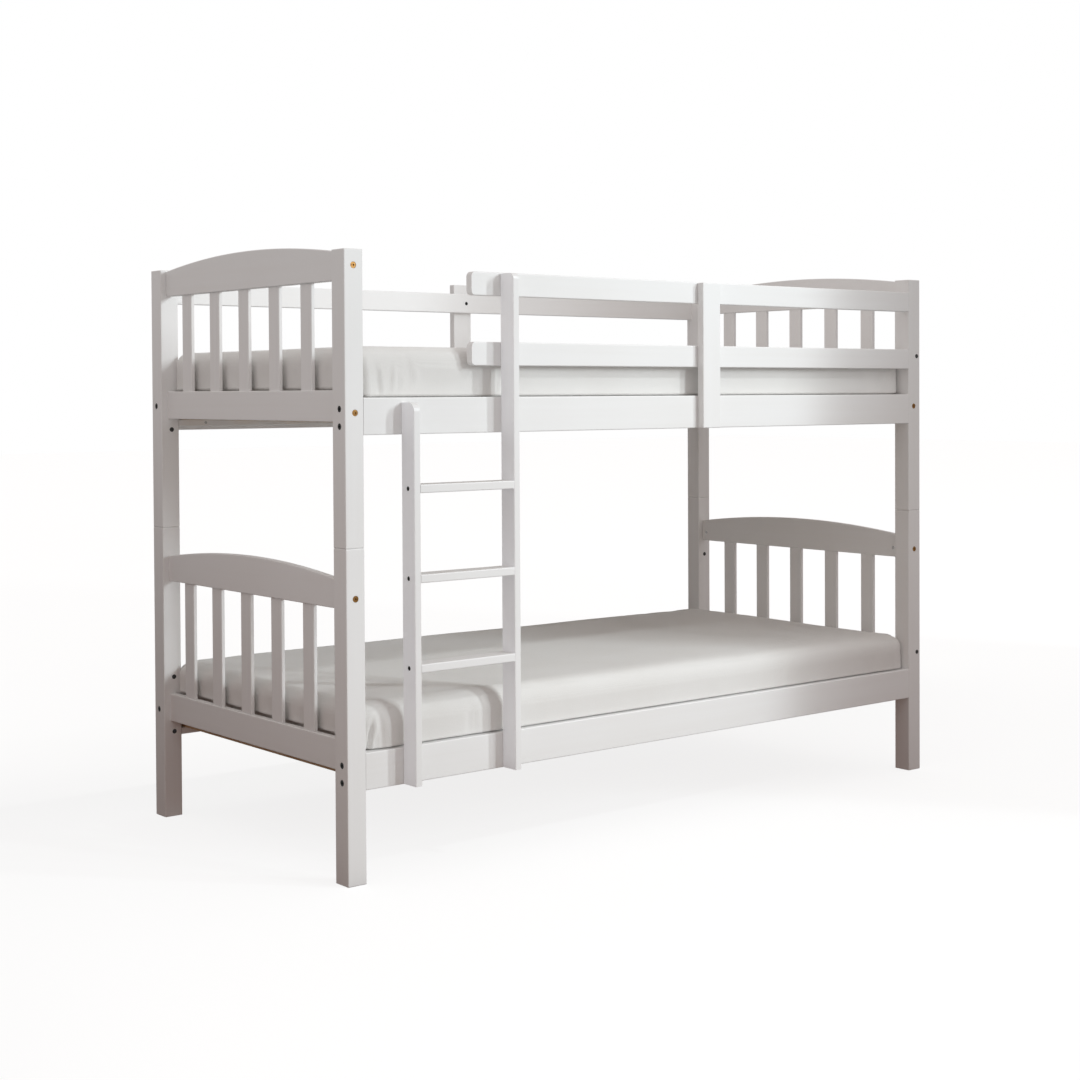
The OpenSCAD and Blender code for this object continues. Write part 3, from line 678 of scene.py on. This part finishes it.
def world():
    """Soft light all round, brightest from above and dim and cool from below, and a white backdrop."""
    w = bpy.data.worlds.new("studio")
    bpy.context.scene.world = w
    if hasattr(w, "cycles"):
        w.cycles.sampling_method = "NONE"
    w.use_nodes = True
    tree = w.node_tree
    tree.nodes.clear()
    out = tree.nodes.new("ShaderNodeOutputWorld")
    mix = tree.nodes.new("ShaderNodeMixShader")
    path = tree.nodes.new("ShaderNodeLightPath")
    seen = tree.nodes.new("ShaderNodeBackground")
    seen.inputs["Color"].default_value = (1, 1, 1, 1)
    fill = tree.nodes.new("ShaderNodeBackground")
    coords = tree.nodes.new("ShaderNodeTexCoord")
    dot = tree.nodes.new("ShaderNodeVectorMath")
    dot.operation = "DOT_PRODUCT"
    dot.inputs[1].default_value = Vector((-0.05, -0.05, 1.0)).normalized()
    share = tree.nodes.new("ShaderNodeMapRange")
    share.inputs["From Min"].default_value = -1.0
    share.inputs["From Max"].default_value = 1.0
    tint = tree.nodes.new("ShaderNodeValToRGB")
    stops = tint.color_ramp.elements
    stops.new(0.5)
    for stop, (place, colour) in zip(stops, FILL):
        stop.position = place
        stop.color = (*colour, 1)
    tree.links.new(coords.outputs["Generated"], dot.inputs[0])
    tree.links.new(dot.outputs["Value"], share.inputs["Value"])
    tree.links.new(share.outputs["Result"], tint.inputs["Fac"])
    tree.links.new(tint.outputs["Color"], fill.inputs["Color"])
    tree.links.new(path.outputs["Is Camera Ray"], mix.inputs["Fac"])
    tree.links.new(fill.outputs["Background"], mix.inputs[1])
    tree.links.new(seen.outputs["Background"], mix.inputs[2])
    tree.links.new(mix.outputs["Shader"], out.inputs["Surface"])


def window_light(name, direction, height, irradiance, colour):
    """A tall, narrow window: sharp shadows of upright edges, soft ones of level edges."""
    data = bpy.data.lights.new(name, "AREA")
    data.shape = "RECTANGLE"
    data.size = WINDOW_WIDTH
    data.size_y = height
    data.energy = irradiance * math.pi * WINDOW_AWAY ** 2
    data.color = colour
    light = bpy.data.objects.new(name, data)
    rotation = direction.to_track_quat("Z", "Y").to_matrix().to_4x4()
    light.matrix_world = Matrix.Translation(direction * WINDOW_AWAY) @ rotation
    light.visible_camera = False
    bpy.context.scene.collection.objects.link(light)
    return light


def soft_spot(name, target, direction, away, reach, irradiance, colour):
    """A round patch of soft light that fades towards its edge."""
    data = bpy.data.lights.new(name, "SPOT")
    data.spot_size = 2 * math.atan(reach / away)
    data.spot_blend = 1.0
    data.shadow_soft_size = 0.3
    data.energy = irradiance * 4 * math.pi * away ** 2
    data.color = colour
    light = bpy.data.objects.new(name, data)
    rotation = direction.to_track_quat("Z", "Y").to_matrix().to_4x4()
    light.matrix_world = Matrix.Translation(Vector(target) + direction * away) @ rotation
    bpy.context.scene.collection.objects.link(light)
    return light


def camera():
    """The camera stands to the left of the front, at about the height of the upper bed's rails."""
    yaw = math.radians(40.03)
    pitch = math.radians(-1.17)
    roll = math.radians(-0.26)
    forward = Vector((math.sin(yaw) * math.cos(pitch), math.cos(yaw) * math.cos(pitch), math.sin(pitch)))
    right = Vector((math.cos(yaw), -math.sin(yaw), 0))
    up = right.cross(forward)
    tilted_right = right * math.cos(roll) + up * math.sin(roll)
    tilted_up = up * math.cos(roll) - right * math.sin(roll)
    place = (-3.179, -3.973, 1.124)
    data = bpy.data.cameras.new("camera")
    data.lens = 60.24
    data.sensor_width = 36
    data.shift_x = -0.0583
    data.shift_y = -0.102
    data.clip_end = 200
    obj = bpy.data.objects.new("camera", data)
    rotation = Matrix((tilted_right, tilted_up, -forward)).transposed()
    obj.matrix_world = Matrix.Translation(place) @ rotation.to_4x4()
    bpy.context.scene.collection.objects.link(obj)
    bpy.context.scene.camera = obj


# ---- The scene ----

dress_cad_nodes()
mattress("lower_mattress_sheet", "lower_mattress", "mattress_low",
         seed=1, swelling=33 * MM, widest=478 * MM, slump=8 * MM)
mattress("upper_mattress_sheet", "upper_mattress", "mattress_high",
         seed=2, swelling=17 * MM, widest=459.5 * MM, slump=1 * MM)
floor()
surroundings()
world()
light_a = window_light("window_a", WINDOW_A, height=6.0, irradiance=0.83, colour=WINDOW_COLOUR)
light_b = window_light("window_b", WINDOW_B, height=5.0, irradiance=0.61, colour=WINDOW_COLOUR)
light_c = soft_spot("middle", (0.02, -0.46, 0.85), towards(25, 45),
                    away=9.0, reach=0.95, irradiance=0.75, colour=(0.92, 0.98, 1.0))
light_d = window_light("ladder_side", towards(-90, 5), height=1.0, irradiance=0.5, colour=(0.82, 0.88, 1.0))
shade_a = shade("shade_a", WINDOW_A, (0.44, -0.46, 0.255), (0.61, -0.46, 1.385), away=2.5, reach=3.0)
shade_b = shade("shade_b", WINDOW_B, (0.50, -0.46, 0.255), (0.76, -0.46, 1.38), away=5.0, reach=3.0)
passes_through(light_a, shade_b)
passes_through(light_b, shade_a)
passes_through(light_c, shade_a, shade_b)
shines_only_on(light_d, [name for name in frame["nodes"] if name.startswith("ladder_stile")])
camera()
bpy.context.scene.view_settings.view_transform = "Standard"
